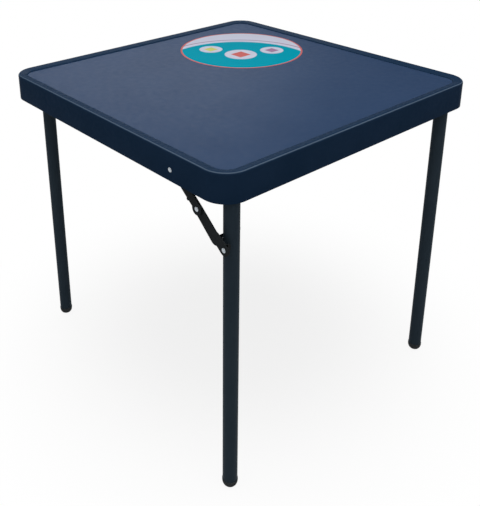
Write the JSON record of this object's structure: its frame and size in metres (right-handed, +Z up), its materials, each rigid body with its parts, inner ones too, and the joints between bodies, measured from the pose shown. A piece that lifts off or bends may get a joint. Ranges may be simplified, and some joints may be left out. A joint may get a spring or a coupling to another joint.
{
  "type": "folding card table",
  "caption": "Square folding card table: a panel held in a deep steel band with a rolled lip, on round tube legs that fold flat into the band, locked open by hinged stays.",
  "frame": {"origin": "on the floor under the middle of the square top, with the table open", "axes": "+Z up; X runs along the right-hand front side, from the front leg towards the right leg; +Y runs from the front leg towards the left leg"},
  "size_m": [0.7528, 0.7534, 0.705],
  "materials": {
    "band_paint": "satin dark navy powder coat",
    "panel_paint": "satin blue-grey textured skin on a fibre board",
    "label_print": null,
    "leg_paint": "satin near-black powder coat",
    "stay_steel": "satin near-black paint on pressed steel",
    "zinc_rivets": "bright zinc plate",
    "zinc_screws": "zinc plate",
    "feet_plastic": "dull black moulding",
    "nylon": "black nylon"
  },
  "bodies": {
    "top": {"edge_frame": "band_paint", "top_panel": "panel_paint", "top_label": "label_print", "rail_front": "band_paint", "rail_screws_front": "zinc_screws", "hinge_bush_front_front": "nylon", "hinge_bush_front_right": "nylon", "hinge_strap_front_front": "stay_steel", "hinge_strap_front_right": "stay_steel", "hinge_screws_front": "zinc_screws", "stay_rivet_front": "zinc_rivets", "stay_spacer_front": "zinc_rivets", "rail_back": "band_paint", "rail_screws_back": "zinc_screws", "hinge_bush_back_back": "nylon", "hinge_bush_back_left": "nylon", "hinge_strap_back_back": "stay_steel", "hinge_strap_back_left": "stay_steel", "hinge_screws_back": "zinc_screws", "stay_rivet_back": "zinc_rivets", "stay_spacer_back": "zinc_rivets"},
    "leg_frame_front": {"leg_front": "leg_paint", "leg_right": "leg_paint", "leg_plug_front": "feet_plastic", "leg_plug_right": "feet_plastic", "foot_front": "feet_plastic", "foot_right": "feet_plastic", "cross_tube_front": "leg_paint", "leg_bracket_front": "stay_steel", "bracket_rivet_front": "zinc_rivets", "pivot_rivet_front": "zinc_rivets"},
    "upper_link_body_front": {"upper_link_front": "stay_steel", "elbow_rivet_front": "zinc_rivets", "elbow_washer_front": "zinc_rivets"},
    "lower_link_body_front": {"lower_link_front": "stay_steel", "elbow_tail_front": "zinc_rivets"},
    "leg_frame_back": {"leg_back": "leg_paint", "leg_left": "leg_paint", "leg_plug_back": "feet_plastic", "leg_plug_left": "feet_plastic", "foot_back": "feet_plastic", "foot_left": "feet_plastic", "cross_tube_back": "leg_paint", "leg_bracket_back": "stay_steel", "bracket_rivet_back": "zinc_rivets", "pivot_rivet_back": "zinc_rivets"},
    "upper_link_body_back": {"upper_link_back": "stay_steel", "elbow_rivet_back": "zinc_rivets", "elbow_washer_back": "zinc_rivets"},
    "lower_link_body_back": {"lower_link_back": "stay_steel", "elbow_tail_back": "zinc_rivets"}
  },
  "joints": [
    {"name": "leg_fold_front", "type": "hinge", "parent": "top", "child": "leg_frame_front", "pos_m": [0, -0.34585, 0.67585], "axis": [1, 0, 0], "range_deg": [0, 90]},
    {"name": "upper_link_turn_front", "type": "hinge", "parent": "top", "child": "upper_link_body_front", "pos_m": [-0.369, -0.231, 0.6685], "axis": [1, 0, 0], "range_deg": [-34.74, 0]},
    {"name": "lower_link_turn_front", "type": "hinge", "parent": "leg_frame_front", "child": "lower_link_body_front", "pos_m": [-0.369, -0.3652, 0.561], "axis": [1, 0, 0], "range_deg": [0, 47.35]},
    {"name": "leg_fold_back", "type": "hinge", "parent": "top", "child": "leg_frame_back", "pos_m": [0, 0.34585, 0.67585], "axis": [-1, 0, 0], "range_deg": [0, 90]},
    {"name": "upper_link_turn_back", "type": "hinge", "parent": "top", "child": "upper_link_body_back", "pos_m": [0.369, 0.231, 0.6685], "axis": [-1, 0, 0], "range_deg": [-34.74, 0]},
    {"name": "lower_link_turn_back", "type": "hinge", "parent": "leg_frame_back", "child": "lower_link_body_back", "pos_m": [0.369, 0.3652, 0.561], "axis": [-1, 0, 0], "range_deg": [0, 47.35]}
  ],
  "couplings": [
    {"joint": "upper_link_turn_front", "follows": "leg_fold_front", "ratio": -0.38549},
    {"joint": "lower_link_turn_front", "follows": "leg_fold_front", "ratio": 0.52558},
    {"joint": "upper_link_turn_back", "follows": "leg_fold_back", "ratio": -0.38549},
    {"joint": "lower_link_turn_back", "follows": "leg_fold_back", "ratio": 0.52558}
  ]
}
